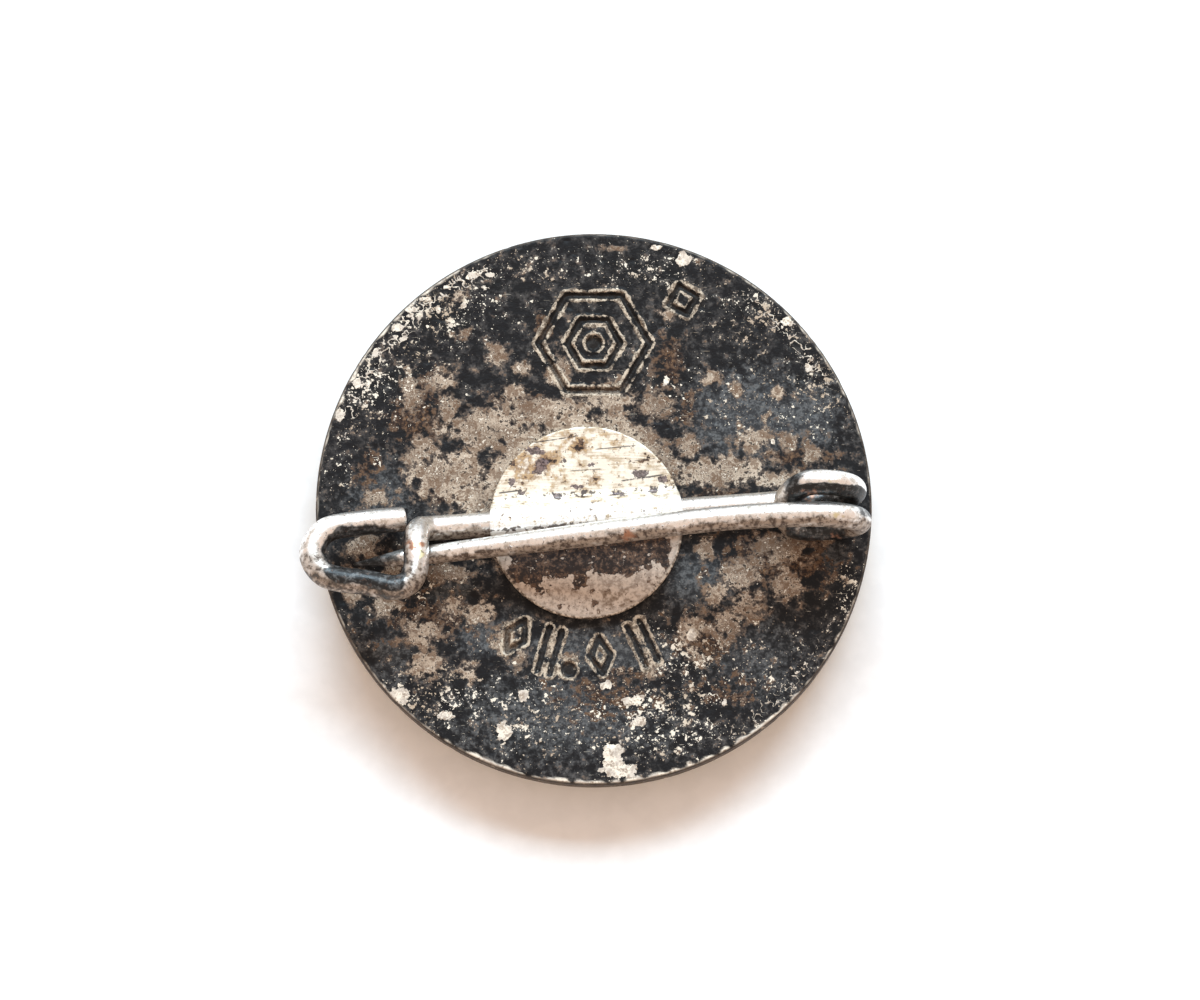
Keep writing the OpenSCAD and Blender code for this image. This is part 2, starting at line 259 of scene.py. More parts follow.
# Patches on the back, as (x, y, radius along X, radius along Y, height)
WORN = [
    (-4.4, 3.3, 1.9, 0.9, 1.1), (-2.2, 4.1, 1.9, 0.7, 1.0), (-6.1, 1.4, 1.8, 1.1, 1.0),
    (-4.9, 0.6, 1.2, 0.9, 0.95), (-7.6, 4.9, 0.5, 1.0, 0.9), (-6.3, 5.3, 0.6, 0.5, 0.95),
    (-6.0, 4.2, 0.5, 0.9, 0.85), (-4.0, 6.4, 0.5, 0.5, 0.95), (-3.0, 5.8, 0.5, 0.3, 0.95),
    (-3.2, 4.8, 0.9, 0.3, 0.8), (-1.5, 5.7, 0.5, 0.8, 1.05), (-5.6, 8.8, 0.4, 0.3, 0.75),
    (-5.4, 7.3, 0.5, 0.3, 0.75), (-9.0, 0.4, 0.6, 0.4, 1.0), (-7.2, 2.2, 0.7, 0.9, 0.8),
    (0.6, 4.6, 1.6, 0.7, 0.9), (2.6, 4.3, 0.8, 0.6, 0.95), (4.9, 5.5, 0.4, 0.35, 0.9),
    (5.9, 4.9, 0.35, 0.4, 0.85), (7.7, 4.8, 0.35, 0.3, 0.9), (6.6, 2.8, 1.0, 0.6, 0.95),
    (8.1, 2.8, 0.6, 0.5, 0.85), (9.0, 2.2, 0.5, 0.5, 0.75), (5.2, 1.5, 2.3, 0.75, 1.0),
    (7.6, 1.2, 1.4, 0.5, 0.8), (3.9, 2.6, 0.6, 0.8, 0.8), (3.0, 8.1, 0.4, 0.3, 0.8),
    (7.7, -1.7, 1.4, 0.8, 0.95), (4.6, -1.8, 0.4, 0.5, 1.0), (6.0, -2.9, 1.0, 0.7, 1.0),
    (7.9, -3.1, 0.9, 0.8, 0.85), (5.0, -3.6, 0.6, 0.6, 0.8), (4.0, -5.0, 0.6, 0.7, 1.0),
    (5.5, -4.9, 0.9, 0.7, 1.0), (4.2, -6.2, 0.5, 0.5, 0.85), (6.4, -4.0, 0.7, 0.9, 0.95),
    (-9.5, -1.5, 0.8, 0.6, 1.0), (-6.0, -2.7, 1.2, 0.5, 0.95), (-8.7, -4.1, 0.7, 0.5, 0.95),
    (-9.9, -3.2, 0.5, 0.9, 0.95), (-4.7, -4.4, 0.8, 0.6, 0.95), (-7.2, -5.2, 0.9, 0.6, 1.0),
    (-7.0, -6.5, 0.7, 0.6, 1.0), (-5.1, -6.8, 0.5, 0.4, 0.9), (-3.7, -5.5, 0.6, 0.9, 0.85),
    (-5.9, -4.0, 0.6, 0.6, 0.8), (-3.0, -6.3, 0.4, 0.6, 0.8), (-8.3, -2.6, 0.7, 0.6, 0.95),
    (2.3, -6.6, 0.3, 0.5, 0.8), (9.7, -0.9, 0.6, 0.6, 0.6), (-1.0, -6.2, 0.5, 0.3, 0.7),
    (0.6, 10.9, 0.6, 0.2, 0.8),
]
RUST = [
    (-7.4, 3.6, 1.3, 1.1, 1.0), (-6.8, 5.0, 1.0, 0.9, 0.9), (-3.0, 4.6, 1.4, 0.5, 0.9),
    (3.1, 6.1, 0.8, 1.5, 0.8), (7.4, -2.2, 2.8, 1.3, 1.0), (8.6, -1.3, 1.6, 0.6, 1.0),
    (4.6, -5.4, 1.6, 1.2, 0.9), (-6.2, 0.6, 1.6, 0.5, 0.8), (-6.8, -4.6, 2.6, 1.3, 0.7),
    (0.8, -7.8, 3.2, 1.6, 0.62), (8.4, 2.2, 2.0, 0.6, 0.8), (3.9, 4.0, 0.8, 1.3, 0.6),
    (-2.0, 7.6, 0.6, 0.7, 0.9), (5.6, -7.4, 2.0, 1.4, 0.6), (-9.3, 1.6, 0.8, 1.2, 0.7),
    (5.4, 0.5, 2.0, 0.5, 0.8),
]
PALE = [
    (-8.0, -7.8, 0.55, 0.4, 1.0), (-3.7, -9.3, 0.42, 0.45, 1.1), (-6.1, -8.6, 0.55, 0.25, 0.9),
    (0.75, -10.3, 0.5, 0.8, 1.2), (1.1, -10.9, 0.9, 0.45, 1.0), (1.7, -8.0, 0.55, 0.28, 1.0),
    (1.9, -8.85, 0.42, 0.28, 0.95), (4.0, -5.3, 0.25, 0.32, 1.05), (3.7, 10.4, 0.45, 0.35, 1.0),
    (2.6, 10.9, 0.3, 0.16, 1.0), (8.0, 7.8, 0.35, 0.3, 1.0), (-2.9, -7.75, 0.3, 0.3, 0.95),
    (0.5, -7.4, 0.4, 0.25, 0.9), (-10.5, 3.9, 0.25, 0.4, 0.9), (3.0, 5.35, 0.2, 0.25, 0.95),
    (7.4, 2.75, 0.16, 0.16, 1.0), (5.4, -8.1, 0.2, 0.2, 0.8), (-5.0, 9.75, 0.3, 0.22, 0.95),
    (-4.3, 9.75, 0.3, 0.16, 0.9), (-4.5, 9.2, 0.2, 0.16, 0.85), (-6.1, 9.25, 0.3, 0.12, 0.95),
    (-7.0, 8.75, 0.42, 0.14, 0.95), (-7.65, 8.3, 0.3, 0.18, 0.95), (-8.15, 7.5, 0.26, 0.24, 1.0),
    (-7.9, 7.05, 0.25, 0.16, 1.0), (-6.45, 8.3, 0.16, 0.24, 1.0), (-5.4, 8.45, 0.16, 0.2, 0.95),
    (-9.05, 6.5, 0.16, 0.3, 0.95), (-9.8, 5.2, 0.22, 0.45, 0.95), (8.9, 5.9, 0.2, 0.3, 0.85),
    (-6.9, 7.6, 0.14, 0.14, 0.95), (-5.9, 7.6, 0.16, 0.14, 0.85),
]
GREY = [
    (6.4, 3.8, 3.0, 2.2, 1.0), (-4.2, -5.3, 1.6, 1.0, 1.0), (8.8, 3.8, 1.6, 1.8, 0.9),
    (9.6, -2.0, 1.0, 0.8, 0.9), (4.4, -3.0, 1.8, 1.4, 0.9), (-8.8, 0.6, 1.6, 1.6, 0.8),
    (0.4, -5.9, 4.0, 1.0, 1.0), (-6.0, -3.6, 1.2, 0.7, 0.9), (-1.0, -8.6, 5.5, 2.2, 0.8),
    (2.6, 7.0, 1.2, 1.6, 0.4), (6.4, -6.4, 2.6, 2.2, 0.7), (-8.2, -6.0, 1.6, 1.8, 0.7),
]
CROWDS = [
    (-6.2, 8.2, 2.4, 1.4, 1.0), (-9.2, 5.0, 1.2, 2.0, 1.0), (-7.6, 6.0, 1.6, 1.6, 0.7),
    (-10.4, 1.6, 0.6, 2.4, 0.6), (-2.4, 10.0, 2.6, 0.8, 0.7), (2.4, 9.9, 2.8, 0.8, 0.8),
    (7.0, 8.0, 2.0, 1.2, 1.0), (9.4, 5.2, 1.4, 1.8, 0.8), (6.4, 4.6, 3.6, 1.8, 0.6),
    (2.6, -8.6, 3.4, 2.2, 1.0), (3.8, -6.0, 2.2, 1.4, 1.0), (-2.4, -8.8, 3.0, 1.6, 0.8),
    (-6.4, -7.8, 3.0, 1.6, 0.9), (7.4, -7.0, 2.6, 1.8, 0.6), (-7.2, -3.8, 2.6, 1.6, 0.5),
    (10.4, -3.6, 0.6, 1.6, 1.0),
]
# By angle from +X: how far the pale chipped edge reaches in from the rim, and how much lace lies inside it
EDGE_ANGLES = [
    -180, -160, -142, -136, -130, -112, -100, -84, -70, -45, -28, -10, 12, 28, 45, 62, 80, 108, 116,
    122, 136, 146, 156, 164, 180,
]
EDGE_WIDTHS = [
    0.08, 0.1, 0.12, 0.3, 0.12, 0.2, 0.2, 0.2, 0.24, 0.2, 0.14, 0.06, 0.1, 0.14, 0.12, 0.1, 0.08, 0.06,
    0.1, 0.14, 0.2, 0.16, 0.2, 0.14, 0.08,
]
LACE_ANGLES = [
    -70, -60, -40, -20, 20, 30, 42, 50, 62, 100, 112, 118, 124, 136, 146, 160, 170,
]
LACE_AMOUNTS = [
    0.0, 0.6, 0.7, 0.4, 0.3, 0.7, 0.9, 0.8, 0.2, 0.2, 0.6, 1.0, 0.8, 1.0, 0.8, 1.0, 0.2,
]


def back_fields(points):
    """What the body's material reads at each vertex"""
    x, y, z = points.T
    r, angle = np.hypot(x, y), np.degrees(np.arctan2(y, x))
    p = flat_points(x, y)
    back = ease(z, 2.0, 2.2)
    d = stamp_distance(x, y)
    width = np.interp(angle, EDGE_ANGLES, EDGE_WIDTHS) * (0.1 + 1.2 * noise(p, 0.3, 61))
    lace = np.interp(angle, LACE_ANGLES, LACE_AMOUNTS) * np.exp(-((r - 10.9) / 0.5) ** 2)
    disc_gap = np.hypot(x - DISC_X, y - DISC_Y) - DISC_R
    halo = 0.85 * (1 - ease(disc_gap, 0.1, 1.3)) * ease(y - 0.4 * x, -2.5, 1.5)
    inside_rim = 1 - ease(r, BADGE_R - 0.09, BADGE_R - 0.05)
    return {
        "worn": np.maximum(blobs(x, y, WORN), halo) * back,
        "rust": blobs(x, y, RUST) * back,
        "pale": blobs(x, y, PALE) * back,
        "grey": blobs(x, y, GREY) * back,
        "crowd": blobs(x, y, CROWDS) * back,
        "lace": lace * back,
        "edge": ease(r - (BADGE_R - width), -0.04, 0.04) * inside_rim * back,
        "rim": ease(r, BADGE_R - 0.1, BADGE_R - 0.05),
        # mask for a painted highlight on the stamps' raised lips
        "burr_highlight": np.exp(-((d - 0.2) / 0.11) ** 2) * back,
        "cut": (1 - ease(d, 0.06, 0.14)) * back,
        "shade": 1 - ease(disc_gap, 0.0, 0.35),
        "front": 1 - ease(z, 1.15, 1.3),
    }


def dome_z(r):
    return 0.0 if r <= FLAT_R else DOME_Z - math.sqrt(DOME_R ** 2 - r * r)


def front_profile():
    """The body's front from the rim to the axis: metal walls between the cells, with softened lips"""
    profile = [(BADGE_R - 0.03, dome_z(BADGE_R) - 0.01)]
    profile += [(r, dome_z(r)) for r in (11.3, 11.1, 10.9, 10.75)]
    for key in ("outer_ring", "inner_ring", "centre"):
        inner, outer, floor = CELLS[key]
        profile += [(outer + 0.05, dome_z(outer)), (outer + 0.01, dome_z(outer) + 0.02)]
        profile += [(outer, dome_z(outer) + 0.06), (outer, floor)]
        if inner:
            profile += [(inner, floor), (inner, dome_z(inner) + 0.06), (inner - 0.01, dome_z(inner) + 0.02)]
            profile += [(inner - 0.05, dome_z(inner))]
            next_cell = {"outer_ring": "inner_ring", "inner_ring": "centre"}[key]
            wall = np.linspace(inner - 0.1, CELLS[next_cell][1] + 0.1, 3)
            profile += [(r, dome_z(r)) for r in wall]
    return profile + [(0.0, CELLS["centre"][2])]


def make_body(material):
    """The struck body: stamped back with a rounded edge, nicked rim, and the front with its cells"""
    radii = np.concatenate([np.linspace(0.5, 3.0, 6), np.arange(3.1, BADGE_R - 0.14, RING_STEP)])
    rounding = ((0.11, 0.006), (0.07, 0.024), (0.03, 0.06), (0.008, 0.11))  # (in from the rim, down)
    rim = [(BADGE_R - inward, BACK_Z - down) for inward, down in rounding]
    rim += [(BADGE_R, z) for z in np.linspace(BACK_Z - 0.18, 1.3, 9)]
    profile = [(0.0, BACK_Z)] + [(r, BACK_Z) for r in radii] + rim + front_profile()
    points, faces = lathe(profile, BODY_SEGMENTS)
    back = points[:, 2] > BACK_Z - 0.2
    x, y = points[:, 0], points[:, 1]
    points[:, 2] += np.where(back, back_height(x, y), 0)
    side = (points[:, 2] > 1.2) & (np.hypot(x, y) > BADGE_R - 0.3)
    dent = 0.012 * fractal(points, 0.8, 71) + 0.02 * ease(noise(points, 0.45, 75), 0.8, 0.95)
    points[:, :2] *= np.where(side, 1 - dent / BADGE_R, 1)[:, None]
    fields = back_fields(points)
    return piece("struck_body", points, faces, material, ["badge_body"], fields, 50)


def make_enamel(key, material):
    """One field of enamel, sunk a little in its middle, with its edges drawn up the cell's walls"""
    inner, outer, floor = CELLS[key]
    bottom = floor - GLASS_GAP
    inner = inner + GLASS_GAP if inner else 0.0
    outer -= GLASS_GAP
    across = np.linspace(inner, outer, 24)
    bow = np.linspace(0 if inner else math.pi / 2, math.pi, len(across))
    sag = 0.03 * np.sin(bow).clip(0) ** 0.5
    surface = [(r, dome_z(r) + 0.012 + s) for r, s in zip(across, sag)]
    if inner:
        profile = surface[::-1] + [(inner, bottom), (outer, bottom)]
        points, faces = ring_lathe(profile, ENAMEL_SEGMENTS)
    else:
        profile = [(0.0, bottom), (outer * 0.5, bottom), (outer, bottom)] + surface[::-1]
        points, faces = lathe(profile, ENAMEL_SEGMENTS)
    points[:, 2] += 0.008 * (fractal(points, 1.6, 91) - 0.5) * (points[:, 2] < floor - 0.1)
    return piece("enamel_" + key + "_glass", points, faces, material, ["enamel_" + key])


def ring_lathe(profile, segments):
    """Points and faces of a closed profile (r, z) that doesn't meet the axis, turned round Z"""
    angles = np.linspace(0, 2 * math.pi, segments, endpoint=False)
    body = [np.column_stack([r * np.cos(angles), r * np.sin(angles), np.full(segments, z)])
            for r, z in profile]
    count = len(profile) * segments
    faces = rings_to_faces(len(profile) + 1, segments)
    return np.vstack(body), [[v % count for v in face] for face in faces]


# ---- disc ------------------------------------------------------------------------------------------

# Golden stains and dark spots as (x, y, radius along X, radius along Y, height)
DISC_GOLD = [
    (-2.4, 1.8, 1.3, 0.7, 1.0), (-0.6, 2.6, 1.3, 0.5, 0.7), (0.2, 1.2, 0.8, 0.5, 0.5),
    (1.1, 2.9, 0.9, 0.3, 0.6), (1.0, -3.8, 0.6, 0.4, 0.9), (2.9, -2.2, 0.4, 1.0, 0.8),
]
DISC_SPOTS = [
    (-2.2, 1.65, 0.33, 0.5, 1.0), (-2.45, 2.3, 0.5, 0.2, 1.0), (-0.1, 1.75, 0.2, 0.2, 1.1),
    (1.9, 1.33, 0.6, 0.25, 1.0), (-1.5, 0.42, 0.25, 0.2, 1.0), (2.8, 1.1, 0.25, 0.18, 1.0),
    (-1.2, 1.9, 0.12, 0.12, 1.1), (-0.7, 0.85, 0.35, 0.15, 0.9), (2.4, 0.65, 0.4, 0.14, 0.9),
    (-3.0, 0.6, 0.3, 0.2, 0.8), (1.0, 0.5, 0.5, 0.15, 0.8), (-3.4, 1.0, 0.2, 0.3, 0.8),
]
# Long scratches on the disc as (x, y, angle, length, half width)
DISC_SCRATCHES = [
    (-1.6, 2.8, 8.5, 1.9, 0.035), (0.9, 2.47, 5.5, 1.75, 0.03), (2.0, 1.2, 8.5, 1.9, 0.045),
    (-3.5, 0.62, 7, 0.9, 0.045), (-0.3, 1.53, 3, 1.4, 0.02), (2.0, 1.95, 7, 1.2, 0.02),
]


def ridge_height(x, y):
    """Height of the disc's sheet where it is pressed up over the strand"""
    d = np.abs(y - strand_y(x)) / math.hypot(1, STRAND_SLOPE)
    rise = np.clip(1 - (d / 0.9) ** 2.4, 0, 1) ** 0.9
    foot = 0.08 * np.exp(-(d / 0.95) ** 6)
    return (RIDGE_TOP - SHEET_TOP) * np.maximum(rise, foot)


def make_disc(material):
    """The soldered disc: a sheet pressed up over the strand, with worn faces and a rounded edge"""
    radii = np.arange(0.06, DISC_R - 0.06, RING_STEP)
    top_edge = [(DISC_R - 0.06, 0.0), (DISC_R - 0.02, 0.02), (DISC_R - 0.004, 0.06), (DISC_R - 0.004, 0.15)]
    profile = [(0.0, 0.0)] + [(r, 0.0) for r in radii] + top_edge
    profile += [(DISC_R - 0.01, DISC_T - 0.05), (DISC_R - 0.04, DISC_T)]
    profile += [(r, DISC_T) for r in np.linspace(DISC_R - 0.15, 0.3, 60)] + [(0.0, DISC_T)]
    points, faces = lathe([(r, -drop) for r, drop in profile], DISC_SEGMENTS)
    points += [DISC_X, DISC_Y, SHEET_TOP]
    x, y, _ = points.T
    rise = ridge_height(x, y)
    upper = points[:, 2] > SHEET_TOP - 0.1
    lift = np.where(upper, rise, np.clip(rise, 0, RIDGE_TOP - SHEET_TOP))
    p = flat_points(x, y)
    worn = 0.014 * (fractal(p, 1.1, 101) - 0.6) - 0.012 * ease(noise(p, 0.3, 105), 0.8, 0.92)
    points[:, 2] += lift + np.where(upper, worn, 0)
    # Under the arm: dark staining, which also paints the arm's shadow.
    stain_and_arm_shadow = ease(-y, 0.9, 1.3) * (1 - ease(-y + 0.12 * x, 2.3, 3.6))
    fields = {
        "stain_and_arm_shadow": stain_and_arm_shadow * (1 - ease(np.abs(x + 0.3), 3.1, 3.8)),
        "lower": ease(-(y - strand_y(x)), 0.5, 0.9),
        # mask for a painted highlight on the top of the raised sheet over the strand
        "ridge_highlight": ease(rise, 0.55, 0.85),
        # mask for painted shade on the lower slope of the raised sheet and at its upper foot
        "foot": np.maximum(np.exp(-((strand_y(x) - y - 0.36) / 0.14) ** 2),
                           0.8 * np.exp(-((y - strand_y(x) - 1.05) / 0.2) ** 2)),
        "gold": blobs(x, y, DISC_GOLD),
        "spot": blobs(x, y, DISC_SPOTS),
        "rimward": ease(np.hypot(x - DISC_X, y - DISC_Y), DISC_R - 0.2, DISC_R - 0.02),
    }
    return piece("soldered_disc", points, faces, material, ["mounting_disc"], fields, 50)


# ---- wire ------------------------------------------------------------------------------------------

def spline(points, steps):
    """Catmull-Rom curve through the points"""
    p = np.array(points, float)
    out = []
    for i in range(len(p) - 1):
        a, b, c, d = p[max(0, i - 1)], p[i], p[i + 1], p[min(len(p) - 1, i + 2)]
        for t in np.arange(steps) / steps:
            out.append((2 * b + (c - a) * t + (2 * a - 5 * b + 4 * c - d) * t * t
                        + (3 * b - a - 3 * c + d) * t ** 3) / 2)
    return np.array(out + [p[-1]])


def coil_point(angle):
    """The coil's centreline at a turn angle, from the strand at -90 to the arm's root at 450"""
    if angle < TURN_1_ANGLE:
        t = ease(angle, -130, TURN_1_ANGLE)
        y = (1 - t) * strand_y(STRAND_END_X) + t * TURN_1_Y
    elif angle < TURN_2_ANGLE:
        t = ease(angle, TURN_1_ANGLE + 10, TURN_2_ANGLE)
        y = (1 - t) * TURN_1_Y + t * TURN_2_Y
    else:
        t = (angle - TURN_2_ANGLE) / (ROOT_ANGLE - TURN_2_ANGLE)
        y = (1 - t) * TURN_2_Y + t * ROOT_Y
    lean = COIL_LEAN * (min(1, max(0, angle / 360)) - 0.5)
    a = math.radians(angle)
    return [COIL_X + lean + COIL_R * math.cos(a), y, STRAND_Z + COIL_R + COIL_R * math.sin(a)]


def arm_points():
    """The arm past its root: the bow, then the straight run with the ends of its shank, taper and point"""
    root = np.array(coil_point(ROOT_ANGLE))
    turn = math.acos(1 / math.hypot(1, ARM_DROP, ARM_DRIFT))
    radius = BOW_LENGTH / math.sin(turn)
    aside = np.array([0, -ARM_DRIFT, -ARM_DROP]) / math.hypot(ARM_DRIFT, ARM_DROP)
    bow = [root + np.array([-1, 0, 0]) * radius * math.sin(a) + aside * radius * (1 - math.cos(a))
           for a in np.linspace(0, turn, 40)[1:]]
    run = -np.array([1, ARM_DRIFT, ARM_DROP]) / math.hypot(1, ARM_DRIFT, ARM_DROP)
    return bow + [bow[-1] + run * length for length in (SHANK, SHANK + TAPER, SHANK + TAPER + POINT)]


def resample(path, spacing):
    """The path as evenly spaced points, and each one's length along it"""
    path = np.array(path)
    length = np.concatenate([[0], np.cumsum(np.linalg.norm(np.diff(path, axis=0), axis=1))])
    at = np.linspace(0, length[-1], int(length[-1] / spacing) + 1)
    return np.column_stack([np.interp(at, length, path[:, k]) for k in range(3)]), at


def carried_frames(path):
    """Two directions across the path, carried along it without twist, and the path's own direction"""
    run = np.gradient(path, axis=0)
    run /= np.linalg.norm(run, axis=1)[:, None]
    across = np.zeros_like(path)
    side = np.cross(run[0], [0, 0, 1])
    for i, d in enumerate(run):
        side = side - d * (side @ d)
        side /= np.linalg.norm(side)
        across[i] = side
    return across, np.cross(run, across), run


def wire_route():
    """Centreline of the whole wire from the catch's cut end to the arm's tip, its lengths and its radius,
    the index where the arm's piece begins, and the length where the arm's root is"""
    catch = spline([(x, y, BACK_Z + h) for x, y, h in CATCH_POINTS], 20)[::-1]
    strand = [(STRAND_END_X, strand_y(STRAND_END_X), STRAND_Z)]
    coil = [coil_point(a) for a in range(-90, ROOT_ANGLE + 1, 5)]
    fixed = np.vstack([catch, strand, coil])
    full = np.vstack([fixed, arm_points()])
    path, at = resample(full, WIRE_STEP)
    fixed_length = np.linalg.norm(np.diff(fixed, axis=0), axis=1).sum()
    split_length = fixed_length - math.radians(ROOT_ANGLE - SPLIT_ANGLE) * COIL_R
    bow_end = at[-1] - SHANK - TAPER - POINT
    ends = [0, fixed_length, bow_end, bow_end + SHANK, at[-1] - POINT, at[-1] - 0.08, at[-1]]
    radius = np.interp(at, ends, [WIRE_R, WIRE_R, SHANK_R, SHANK_R, POINT_R, TIP_R + 0.01, TIP_R])
    return path, at, radius, int(np.searchsorted(at, split_length)), fixed_length


# Copper and yellow marks on the wire's upper side, as (x, y, radius along X, radius along Y, height)
WIRE_COPPER = [(1.4, -1.5, 0.3, 0.35, 0.8), (-7.3, -1.8, 0.4, 0.26, 1.1), (8.9, 0.2, 0.6, 0.3, 0.45)]
WIRE_YELLOW = [(-7.15, -2.2, 0.2, 0.24, 1.1), (9.9, 0.62, 0.5, 0.16, 0.6), (9.9, -0.8, 0.35, 0.16, 0.6)]


def wire_fields(points, normal, at, fixed_length):
    """Patina and painted shade by side and by place: silver above, tan below (partly patina, partly painted
    shade on the side turned from the light), dark inside the catch and the coil (patina, with painted shade
    on the coil's low parts under the arm)
    """
    x, y, z = points.T
    nx, ny, nz = normal.T
    rough = fractal(points, 0.7, 131) - 0.5
    # Tan on the side turned from the light: partly patina, partly painted shade.
    below = ease(-ny - 0.3 * nz + 0.9 * rough, -0.25, 0.35)

    # The catch's loop is dark on its inner side, and its far leg is dark on top as well.
    catch = ease(-x, 7.5, 7.9)
    to_middle = np.column_stack([-9.2 - x, -2.15 - y])
    inward = (nx * to_middle[:, 0] + ny * to_middle[:, 1]) / np.maximum(np.hypot(*to_middle.T), 0.1)
    far_leg = ease(-y, 2.5, 3.1)
    inner_side = inward + 0.75 * far_leg * nz + 0.5 * rough - 0.35 * ease(-x, 10.3, 11.2)
    loop = catch * ease(inner_side, 0.0, 0.7)
    outer_side = catch * far_leg * ease(-inward, -0.2, 0.4)
    outside = np.maximum(outer_side, catch * ease(-y, 1.6, 2.4) * 0.7)
    catch_bar = ease(-x, 6.9, 7.1) * (1 - ease(-x, 7.7, 8.0))
    catch_bar *= ease(np.abs(nx) + 0.35 * ease(-y, 1.6, 2.6) + 0.8 * rough, 0.25, 0.7)

    past_root = ease(at, fixed_length - 2.5, fixed_length)
    coil = ease(x, 7.6, 8.2) * (1 - past_root)
    crevice = coil * ease(-ny * np.sign(y + 0.15) + 0.1 + 0.6 * rough, 0.0, 0.4)
    coil_left = coil * ease(8.9 - x + rough, 0.0, 0.9) * ease(z, 3.2, 4.0)
    # Dark on the coil's low parts and the strand's end beneath it: patina and dirt, with painted shade under
    # the arm.
    low_turn = coil * ease(4.3 - z + 0.8 * rough, 0.0, 0.8)
    tip = ease(-x, 7.2, 9.2) * past_root
    dark = [loop * (1 - past_root), crevice, coil_left, 0.9 * low_turn, 0.85 * tip, 0.5 * outer_side]
    low_copper = 0.5 * low_turn * ease(noise(points, 0.5, 161), 0.3, 0.9)
    return {
        "tan": np.maximum.reduce([below, outside, 0.9 * catch_bar]),
        "dark": np.maximum.reduce(dark),
        "copper": np.maximum(blobs(x, y, WIRE_COPPER) * ease(nz, -0.1, 0.3), low_copper),
        "yellow": blobs(x, y, WIRE_YELLOW) * ease(nz, 0.1, 0.4),
    }


def sweep(name, path, at, radius, frames, material, nodes, fixed_length, cut_start):
    """A round wire with small dents and pits and closed ends; cut_start rounds off its first rings"""
    across, over, run = frames
    turn = np.linspace(0, 2 * math.pi, WIRE_SIDES, endpoint=False)[None, :, None]
    normal = np.cos(turn) * across[:, None, :] + np.sin(turn) * over[:, None, :]
    centre = np.repeat(path[:, None, :], WIRE_SIDES, axis=1)
    r = np.repeat(radius[:, None], WIRE_SIDES, axis=1)
    skin = (centre + normal * r[..., None]).reshape(-1, 3)
    dents = 0.02 * fractal(skin, 1.3, 111) + 0.022 * ease(noise(skin, 0.24, 115), 0.78, 0.92)
    r = r * (1 - np.minimum(dents.reshape(r.shape), 0.1))
    if cut_start:
        r[0] *= 0.955
        r[1] *= 0.995
    skin = (centre + normal * r[..., None]).reshape(-1, 3)
    poles = [path[0] + run[0] * 0.01, path[-1] + run[-1] * 0.02]
    points = np.vstack([skin, poles])
    faces = rings_to_faces(len(path), WIRE_SIDES, len(skin), len(skin) + 1)
    normals = np.vstack([normal.reshape(-1, 3), -run[:1], run[-1:]])
    lengths = np.concatenate([np.repeat(at, WIRE_SIDES), at[:1], at[-1:]])
    fields = wire_fields(points, normals, lengths, fixed_length)
    return piece(name, points, faces, material, nodes, fields, 35)


def make_wire(material):
    """The wire as two pieces that meet in the coil's last quarter turn"""
    path, at, radius, split, fixed_length = wire_route()
    frames = carried_frames(path)

    def part(name, stretch, nodes, cut_start):
        return sweep(name, path[stretch], at[stretch], radius[stretch], [axis[stretch] for axis in frames],
                     material, nodes, fixed_length, cut_start)
    return (part("wire_catch_and_coil", slice(0, split + 1), ["catch_wire", "spring_coil"], True),
            part("wire_arm", slice(split, None), ["pin_arm"], False))


# ---- materials -------------------------------------------------------------------------------------

